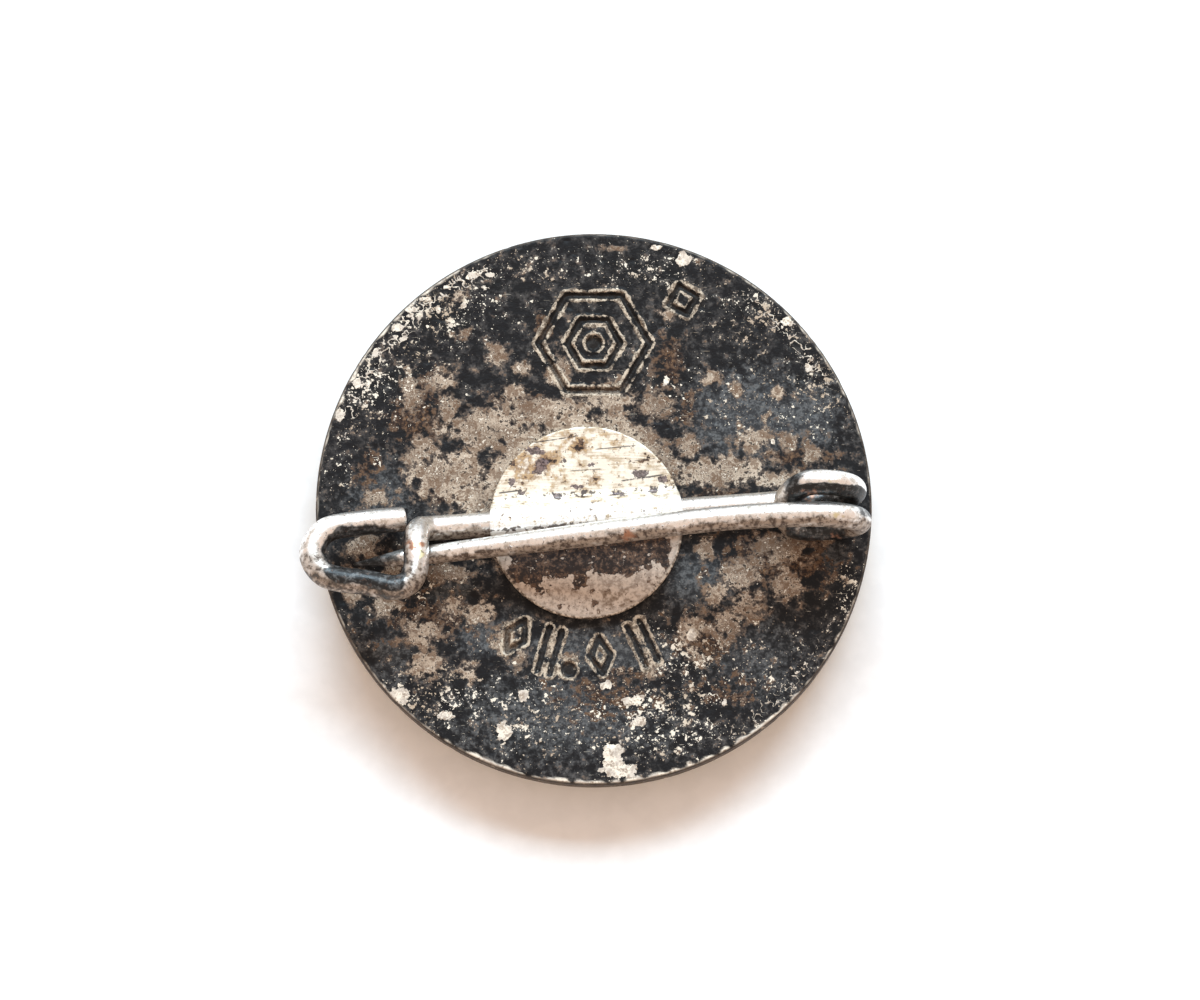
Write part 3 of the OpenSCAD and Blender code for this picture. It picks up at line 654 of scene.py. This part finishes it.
class Shade:
    """A material's node tree, with short calls for the nodes that repeat"""

    def __init__(self, name):
        self.material = bpy.data.materials.new(name)
        self.material.use_nodes = True
        self.tree = self.material.node_tree
        self.shader = self.tree.nodes["Principled BSDF"]
        self.place = self.field("rest", "Vector")

    def node(self, kind, values=(), **settings):
        node = self.tree.nodes.new("ShaderNode" + kind)
        for key, value in settings.items():
            setattr(node, key, value)
        for key, value in dict(values).items():
            self.feed(node.inputs[key], value)
        return node

    def feed(self, socket, value):
        if isinstance(value, bpy.types.NodeSocket):
            self.tree.links.new(value, socket)
        elif isinstance(value, tuple) and len(value) == 3 and socket.type == "RGBA":
            socket.default_value = (*value, 1)
        else:
            socket.default_value = value

    def field(self, name, output="Fac"):
        return self.node("Attribute", attribute_name=name).outputs[output]

    def noise(self, scale, detail=3.0, roughness=0.5, stretch=(1, 1, 1), seed=0.0, turn=0.0):
        """Noise per millimetre, spread out so that it averages 0.5 and a tenth of it is over 0.8"""
        shift = (seed, seed * 0.7, seed * 0.3)
        values = {"Vector": self.place, "Location": shift, "Rotation": (0, 0, turn), "Scale": stretch}
        place = self.node("Mapping", values).outputs[0]
        values = {"Vector": place, "Scale": scale, "Detail": detail, "Roughness": roughness}
        return self.calc("MULTIPLY_ADD", self.node("TexNoise", values).outputs["Fac"], 3.2, -1.1)

    def use_object_place(self):
        """Places in millimetres from the object's own coordinates, for a mesh without the rest attribute"""
        place = self.node("TexCoord").outputs["Object"]
        self.place = self.node("VectorMath", {0: place, "Scale": 1 / MM}, operation="SCALE").outputs[0]

    def cells(self, scale, output="Distance"):
        return self.node("TexVoronoi", {"Vector": self.place, "Scale": scale}).outputs[output]

    def calc(self, operation, a, b=0.0, c=0.0):
        node = self.node("Math", operation=operation)
        for socket, value in zip(node.inputs, (a, b, c)):
            self.feed(socket, value)
        return node.outputs[0]

    def step(self, value, low, high, to_low=0.0, to_high=1.0):
        values = {"Value": value, "From Min": low, "From Max": high, "To Min": to_low, "To Max": to_high}
        return self.node("MapRange", values, interpolation_type="SMOOTHSTEP").outputs[0]

    def add(self, *terms):
        """Sum of (value, weight) pairs"""
        total = 0.0
        for value, weight in terms:
            total = self.calc("MULTIPLY_ADD", value, weight, total)
        return total

    def mix(self, share, a, b):
        node = self.node("Mix", data_type="RGBA")
        self.feed(node.inputs["Factor"], share)
        for socket, value in zip([s for s in node.inputs if s.type == "RGBA"], (a, b)):
            self.feed(socket, value)
        return [s for s in node.outputs if s.type == "RGBA"][0]

    def mark(self, x, y, angle, length, width):
        """A thin straight scratch with its middle at (x, y)"""
        values = {"Vector": self.place, "Location": (x, y, 0), "Rotation": (0, 0, math.radians(angle))}
        along = self.node("Mapping", values, vector_type="TEXTURE").outputs[0]
        parts = self.node("SeparateXYZ", {0: along}).outputs
        near = self.step(self.calc("ABSOLUTE", parts[1]), width, width * 0.4)
        within = self.step(self.calc("ABSOLUTE", parts[0]), length / 2, length / 2.4)
        return self.calc("MULTIPLY", near, within)

    def bump(self, height, distance, strength=1.0):
        values = {"Height": height, "Distance": distance * MM, "Strength": strength}
        self.finish(Normal=self.node("Bump", values).outputs[0])

    def finish(self, **sockets):
        for key, value in sockets.items():
            self.feed(self.shader.inputs[key.replace("_", " ")], value)
        return self.material


def light_flecks(s, middle, fine):
    """Small cream specks in crowds: odd bits, round dots of two sizes, and thin slanting scratches"""
    crowd = s.add((s.field("crowd"), 0.5), (middle, 0.5))
    bits = s.step(s.add((s.noise(4.5, 3, 0.6, seed=23), 1.0), (crowd, 0.8)), 1.38, 1.41)
    specks = s.step(s.add((s.noise(11, 2, 0.5, seed=19), 1.0), (crowd, 0.7)), 1.4, 1.46)
    dots = []
    for scale, size in ((2.3, 0.34), (5.5, 0.4)):
        reach = s.step(s.add((s.cells(scale, "Color"), 1.0), (crowd, 1.0)), 1.1, 1.9, -0.02, size)
        centre_gap = s.add((s.cells(scale), 1.0), (fine, 0.16))
        dots.append(s.calc("LESS_THAN", centre_gap, s.calc("ADD", reach, 0.05)))
    scratches = s.step(s.noise(1.0, 2, stretch=(1.6, 22, 2), turn=0.3, seed=5), 1.22, 1.3)
    flecks = s.calc("MAXIMUM", s.calc("MAXIMUM", *dots), s.calc("MAXIMUM", bits, specks))
    return s.calc("MAXIMUM", flecks, s.calc("MULTIPLY", scratches, 0.5))


def tarnished_body():
    """Black and bluish tarnish with tan wear, rust, cream flecks and chips; gilt on the front"""
    s = Shade("tarnished_body")
    broad, middle = s.noise(0.5), s.noise(1.8, 4, 0.55, seed=3)
    fine, grain = s.noise(5, 3, 0.55, seed=7), s.noise(13, 2, seed=11)
    mixed = s.add((fine, 0.65), (grain, 0.35))

    share = s.step(s.add((middle, 0.5), (mixed, 0.5)), 0.35, 1.05)
    colour = s.mix(share, (0.009, 0.009, 0.010), (0.080, 0.074, 0.070))
    share = s.step(s.add((s.field("grey"), 1.0), (middle, 0.4), (fine, 0.2)), 0.5, 1.1)
    grey = s.mix(s.step(mixed, 0.25, 0.95), (0.034, 0.036, 0.039), (0.118, 0.122, 0.124))
    colour = s.mix(share, colour, grey)

    share = s.step(s.add((s.field("rust"), 1.0), (middle, 0.7), (fine, 0.4)), 0.95, 1.25)
    rust = s.mix(s.step(mixed, 0.3, 0.85), (0.026, 0.016, 0.013), (0.125, 0.074, 0.044))
    strong = s.step(s.add((s.field("rust"), 1.0), (middle, 0.4)), 0.95, 1.25)
    rust = s.mix(s.calc("MULTIPLY", s.step(mixed, 0.4, 0.85), strong), rust, (0.22, 0.108, 0.042))
    rust = s.mix(s.calc("MULTIPLY", s.step(mixed, 0.78, 0.88), strong), rust, (0.44, 0.27, 0.13))
    colour = s.mix(share, colour, rust)

    broken = s.noise(3.0, 5, 0.6, seed=27)
    wear = s.add((s.field("worn"), 1.0), (middle, 0.5), (broken, 0.6), (fine, 0.25), (grain, 0.1))
    colour = s.mix(s.step(wear, 0.95, 1.28, 0.0, 0.85), colour, (0.14, 0.105, 0.082))
    worn = s.step(wear, 1.22, 1.28)
    share = s.step(s.add((mixed, 0.65), (broad, 0.35)), 0.25, 0.75)
    tan = s.mix(share, (0.17, 0.120, 0.086), (0.52, 0.425, 0.33))
    tan = s.mix(s.step(mixed, 0.72, 0.85), tan, (0.055, 0.043, 0.035))
    tan = s.mix(s.step(mixed, 0.24, 0.14), tan, (0.68, 0.61, 0.51))
    tan = s.mix(s.step(broken, 0.6, 0.75, 0.0, 0.7), tan, (0.15, 0.090, 0.055))
    colour = s.mix(worn, colour, tan)

    chips = s.step(s.add((s.field("pale"), 1.0), (middle, 0.3), (fine, 0.4)), 0.9, 0.94)
    line = s.calc("ABSOLUTE", s.add((s.noise(2.6, 2, seed=31), 1.0), (0.5, -1.0)))
    lace = s.step(s.add((line, -1.0), (s.field("lace"), 0.3), (fine, 0.12)), 0.2, 0.24)
    pale = s.calc("MAXIMUM", s.calc("MAXIMUM", chips, lace), s.field("edge"))
    cream = s.mix(s.step(mixed, 0.4, 0.85), (0.84, 0.76, 0.64), (0.36, 0.29, 0.23))
    cream = s.mix(s.step(middle, 0.5, 0.65, 0.0, 0.6), cream, (0.54, 0.48, 0.42))
    colour = s.mix(pale, colour, cream)

    flecks = s.calc("MULTIPLY", light_flecks(s, middle, fine), s.calc("SUBTRACT", 1.0, s.field("shade")))
    colour = s.mix(flecks, colour, s.mix(s.step(broad, 0.3, 0.7), (0.80, 0.73, 0.61), (0.45, 0.36, 0.27)))
    # Cream on the stamps' raised lips: a painted highlight.
    burr_highlight = s.step(s.add((s.field("burr_highlight"), 1.0), (fine, 0.5), (middle, 0.6)), 1.15, 1.4)
    colour = s.mix(burr_highlight, colour, s.mix(s.step(mixed, 0.3, 0.8), (0.58, 0.49, 0.38), (0.13, 0.10, 0.075)))
    colour = s.mix(s.calc("MULTIPLY", s.field("cut"), 0.7), colour, (0.018, 0.015, 0.013))
    share = s.step(s.add((middle, 0.4), (mixed, 0.6)), 0.2, 0.95)
    rim = s.mix(share, (0.030, 0.023, 0.019), (0.115, 0.086, 0.064))
    rim = s.mix(s.step(s.add((middle, 0.4), (broken, 0.6)), 0.86, 0.94), rim, (0.36, 0.29, 0.22))
    colour = s.mix(s.field("rim"), colour, rim)

    front = s.field("front")
    colour = s.mix(front, colour, s.mix(s.step(mixed, 0.5, 1.1), (0.80, 0.58, 0.27), (0.34, 0.21, 0.10)))
    metal = s.calc("MAXIMUM", front, s.calc("MULTIPLY", worn, 0.2))
    rough = s.calc("MULTIPLY_ADD", front, -0.28, s.step(fine, 0.1, 0.9, 0.42, 0.62))
    s.bump(s.add((flecks, 0.5), (worn, 0.35), (pale, 0.6), (fine, 0.35), (grain, 0.15)), 0.03, 0.7)
    return s.finish(Base_Color=colour, Metallic=metal, Roughness=rough, Specular_IOR_Level=0.15)


def stained_disc():
    """Cream silver with golden stains, dark spots and fine level scratches; pinkish below, partly staining
    and partly painted shade of the arm, with a dark patch under the arm that is staining and painted shadow
    of the arm
    """
    s = Shade("stained_disc")
    middle, fine = s.noise(1.4, 4, 0.55, seed=2), s.noise(4.5, 4, 0.55, seed=6)
    grain = s.noise(13, 2, seed=9)
    mixed = s.add((fine, 0.65), (grain, 0.35))
    brushed = s.noise(1.0, 3, stretch=(1.4, 14, 2), turn=-0.1, seed=4)

    streaks = s.step(s.add((brushed, 0.25), (middle, 0.4), (fine, 0.35)), 0.33, 0.75)
    silver = s.mix(streaks, (0.88, 0.81, 0.69), (0.50, 0.40, 0.28))
    gold = s.step(s.add((s.field("gold"), 0.7), (middle, 0.7), (fine, 0.5)), 0.8, 1.3)
    silver = s.mix(gold, silver, s.mix(s.step(mixed, 0.2, 0.8), (0.22, 0.13, 0.075), (0.52, 0.36, 0.20)))
    # Pinkish tone below the strand: partly staining, partly painted shade of the arm and the raised sheet.
    pink = s.mix(s.step(mixed, 0.2, 0.9), (0.58, 0.485, 0.405), (0.31, 0.24, 0.19))
    pink = s.mix(s.calc("MULTIPLY", gold, 0.7), pink, (0.16, 0.10, 0.055))
    colour = s.mix(s.field("lower"), silver, pink)

    # Dark patch under the arm: staining plus a painted shadow of the arm.
    stain_and_arm_shadow = s.step(s.add((s.field("stain_and_arm_shadow"), 0.9), (middle, 0.9), (fine, 0.4)), 1.02, 1.12)
    deep = s.mix(s.step(mixed, 0.35, 0.9), (0.020, 0.014, 0.013), (0.14, 0.08, 0.05))
    colour = s.mix(stain_and_arm_shadow, colour, s.mix(s.step(mixed, 0.93, 1.0), deep, (0.5, 0.41, 0.32)))
    spots = s.step(s.add((s.field("spot"), 1.0), (fine, 0.6), (middle, 0.3)), 1.02, 1.08)
    spot = s.mix(s.step(grain, 0.2, 0.9), (0.05, 0.036, 0.04), (0.2, 0.15, 0.15))
    colour = s.mix(s.calc("MULTIPLY", spots, 0.9), colour, spot)
    pin_holes = s.step(s.noise(7.5, 2, seed=14), 1.05, 1.1)
    colour = s.mix(s.calc("MULTIPLY", pin_holes, 0.8), colour, (0.13, 0.08, 0.055))
    # Near-white on the top of the raised sheet over the strand: a painted highlight where its slope faces the
    # light.
    ridge_highlight = s.calc("MULTIPLY", s.field("ridge_highlight"), s.step(mixed, 0.85, 0.55))
    colour = s.mix(ridge_highlight, colour, (0.92, 0.90, 0.86))
    # Dark flecked line on the raised sheet's lower slope and at its upper foot: painted shade.
    foot = s.step(s.add((s.field("foot"), 1.0), (fine, 0.8), (middle, 0.3)), 1.42, 1.5)
    colour = s.mix(s.calc("MULTIPLY", foot, 0.85), colour, (0.085, 0.07, 0.066))
    lines = 0.0
    for values in DISC_SCRATCHES:
        lines = s.calc("MAXIMUM", lines, s.mark(*values))
    colour = s.mix(s.calc("MULTIPLY", lines, s.step(fine, 0.1, 0.4, 0.3, 0.9)), colour, (0.05, 0.042, 0.04))
    edge = s.mix(s.step(mixed, 0.3, 0.7), (0.10, 0.07, 0.05), (0.62, 0.52, 0.42))
    colour = s.mix(s.calc("MULTIPLY", s.field("rimward"), s.field("lower")), colour, edge)
    rough = s.step(fine, 0.1, 0.9, 0.32, 0.55)
    height = s.add((brushed, 0.2), (fine, 0.2), (grain, 0.08), (spots, -0.5), (pin_holes, -0.7))
    s.bump(height, 0.02, 0.6)
    return s.finish(Base_Color=colour, Metallic=0.35, Roughness=rough)


def worn_wire():
    """Bright plated wire, tan and pitted on its lower side, the tan partly patina and partly painted shade;
    dark in its crevices, with painted shade under the arm
    """
    s = Shade("worn_wire")
    middle, fine = s.noise(1.5, 4, seed=1), s.noise(4.5, 3, seed=4)
    mixed = s.add((fine, 0.7), (s.noise(13, 2, seed=12), 0.3))
    silver = s.mix(s.step(mixed, 0.35, 0.95), (0.93, 0.92, 0.90), (0.60, 0.555, 0.50))
    # tan: patina, and painted shade on the wire's side away from the light
    tan_share = s.step(s.add((s.field("tan"), 1.0), (middle, 0.4), (fine, 0.3)), 0.5, 1.35)
    tan = s.mix(s.step(mixed, 0.3, 0.9), (0.36, 0.29, 0.23), (0.085, 0.06, 0.045))
    colour = s.mix(tan_share, silver, tan)
    dark_share = s.step(s.add((s.field("dark"), 1.0), (middle, 0.35), (fine, 0.2)), 0.55, 1.0)
    dark = s.mix(s.step(mixed, 0.4, 1.1), (0.012, 0.012, 0.012), (0.12, 0.12, 0.118))
    colour = s.mix(dark_share, colour, dark)
    copper = s.step(s.add((s.field("copper"), 1.0), (fine, 0.4)), 0.5, 1.0)
    colour = s.mix(s.calc("MULTIPLY", copper, 0.9), colour, (0.36, 0.165, 0.09))
    yellow = s.step(s.add((s.field("yellow"), 1.0), (fine, 0.4)), 0.5, 0.9)
    colour = s.mix(s.calc("MULTIPLY", yellow, 0.9), colour, (0.74, 0.67, 0.42))
    pits = s.step(s.add((s.noise(6, 2, seed=8), 1.0), (s.field("tan"), 0.2)), 1.05, 1.15)
    colour = s.mix(s.calc("MULTIPLY", pits, 0.7), colour, (0.07, 0.045, 0.035))
    metal = s.step(s.calc("MAXIMUM", tan_share, dark_share), 0.0, 1.0, 1.0, 0.4)
    rough = s.add((tan_share, 0.14), (fine, 0.14), (dark_share, -0.04))
    s.bump(s.add((fine, 0.3), (mixed, 0.1), (pits, -1.0)), 0.02, 0.6)
    return s.finish(Base_Color=colour, Metallic=metal, Roughness=s.calc("ADD", rough, 0.27))


def enamel(name, deep, light):
    """Glassy enamel with slow colour changes, tiny bubbles and a worn gloss"""
    s = Shade(name)
    slow, fine = s.noise(0.5, 4), s.noise(9, 4, seed=3)
    colour = s.mix(s.step(s.add((slow, 0.7), (fine, 0.3)), 0.3, 0.7), deep, light)
    bubbles = s.step(s.cells(3.4), 0.07, 0.05)
    colour = s.mix(s.calc("MULTIPLY", bubbles, 0.5), colour, (0.03, 0.03, 0.03))
    s.bump(s.add((slow, 0.3), (bubbles, -0.6), (fine, 0.03)), 0.02, 0.5)
    return s.finish(Base_Color=colour, Roughness=s.step(fine, 0.1, 0.9, 0.08, 0.24), Coat_Weight=0.6,
                    Coat_Roughness=0.06)


def dull_solder():
    """Grey solder with a fine dull grain"""
    s = Shade("dull_solder")
    s.use_object_place()
    fine = s.noise(6, 6, 0.7)
    colour = s.mix(s.step(fine, 0.2, 0.8), (0.13, 0.12, 0.115), (0.42, 0.40, 0.37))
    s.bump(fine, 0.02, 0.8)
    return s.finish(Base_Color=colour, Metallic=0.7, Roughness=s.step(fine, 0.1, 0.9, 0.4, 0.65))


def paper_floor():
    """Nearly white paper"""
    s = Shade("paper_floor")
    s.use_object_place()
    colour = s.mix(s.step(s.noise(0.9, 5), 0.1, 0.9), (0.90, 0.90, 0.90), (0.94, 0.94, 0.94))
    return s.finish(Base_Color=colour, Roughness=0.9, Specular_IOR_Level=0.1)


# ---- object ----------------------------------------------------------------------------------------

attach(make_body(tarnished_body()), "badge")
enamel_dark = enamel("enamel_dark_glass", (0.006, 0.055, 0.07), (0.012, 0.11, 0.12))
enamel_light = enamel("enamel_light_glass", (0.62, 0.56, 0.43), (0.74, 0.69, 0.56))
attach(make_enamel("centre", enamel_dark), "badge")
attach(make_enamel("inner_ring", enamel_light), "badge")
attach(make_enamel("outer_ring", enamel_dark), "badge")
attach(make_disc(stained_disc()), "badge")
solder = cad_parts["solder_layer"]
solder.data.materials.clear()
solder.data.materials.append(dull_solder())

fixed_wire, arm = make_wire(worn_wire())
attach(fixed_wire, "badge")
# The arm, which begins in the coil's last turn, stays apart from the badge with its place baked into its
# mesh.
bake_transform(arm)


# ---- floor, light and camera (metres, degrees and watts) -------------------------------------------

FLOOR_HALF, FLOOR_Z = 1.5, -0.00002
KEY_PLACE, KEY_SIZE, KEY_WATTS, KEY_COLOUR = (0.035, 0.39, 0.32), (0.5, 0.19), 4.3, (0.64, 0.85, 1.0)
WORLD_COLOUR, WORLD_STRENGTH = (1.0, 0.79, 0.66, 1), 0.85
CAMERA_AIM, CAMERA_ELEVATION = (0.000256, 0.000329, BACK_Z * MM), 82.7
CAMERA_DISTANCE, FRAME_WIDTH = 0.3, 0.0496


def flat_sheet(name, half, z, material):
    mesh = bpy.data.meshes.new(name)
    corners = [(-half, -half, z), (half, -half, z), (half, half, z), (-half, half, z)]
    mesh.from_pydata(corners, [], [(0, 1, 2, 3)])
    mesh.materials.append(material)
    obj = bpy.data.objects.new(name, mesh)
    bpy.context.scene.collection.objects.link(obj)
    return obj


def softbox(name, place, aim, size, watts, colour):
    light = bpy.data.lights.new(name, "AREA")
    light.shape, light.size, light.size_y = "RECTANGLE", size[0], size[1]
    light.energy, light.color = watts, colour
    obj = bpy.data.objects.new(name, light)
    obj.location = place
    obj.rotation_mode = "QUATERNION"
    obj.rotation_quaternion = (Vector(aim) - Vector(place)).to_track_quat("-Z", "Y")
    bpy.context.scene.collection.objects.link(obj)


def add_camera(aim, elevation, distance, width):
    """A camera above the badge; width is how much of the back face the long side of the frame takes in"""
    data = bpy.data.cameras.new("camera")
    data.lens = data.sensor_width * distance / width
    camera = bpy.data.objects.new("camera", data)
    e = math.radians(elevation)
    back = Vector((0, -math.cos(e), math.sin(e)))
    camera.location = Vector(aim) + back * distance
    camera.rotation_mode = "QUATERNION"
    camera.rotation_quaternion = (-back).to_track_quat("-Z", "Y")
    bpy.context.scene.collection.objects.link(camera)
    bpy.context.scene.camera = camera


flat_sheet("floor", FLOOR_HALF, FLOOR_Z, paper_floor())
softbox("key_softbox", KEY_PLACE, (0, 0, 0), KEY_SIZE, KEY_WATTS, KEY_COLOUR)
world = bpy.data.worlds.new("studio")
bpy.context.scene.world = world
world.use_nodes = True
background = world.node_tree.nodes["Background"]
background.inputs["Color"].default_value = WORLD_COLOUR
background.inputs["Strength"].default_value = WORLD_STRENGTH
bpy.context.scene.view_settings.view_transform = "Standard"
add_camera(CAMERA_AIM, CAMERA_ELEVATION, CAMERA_DISTANCE, FRAME_WIDTH)
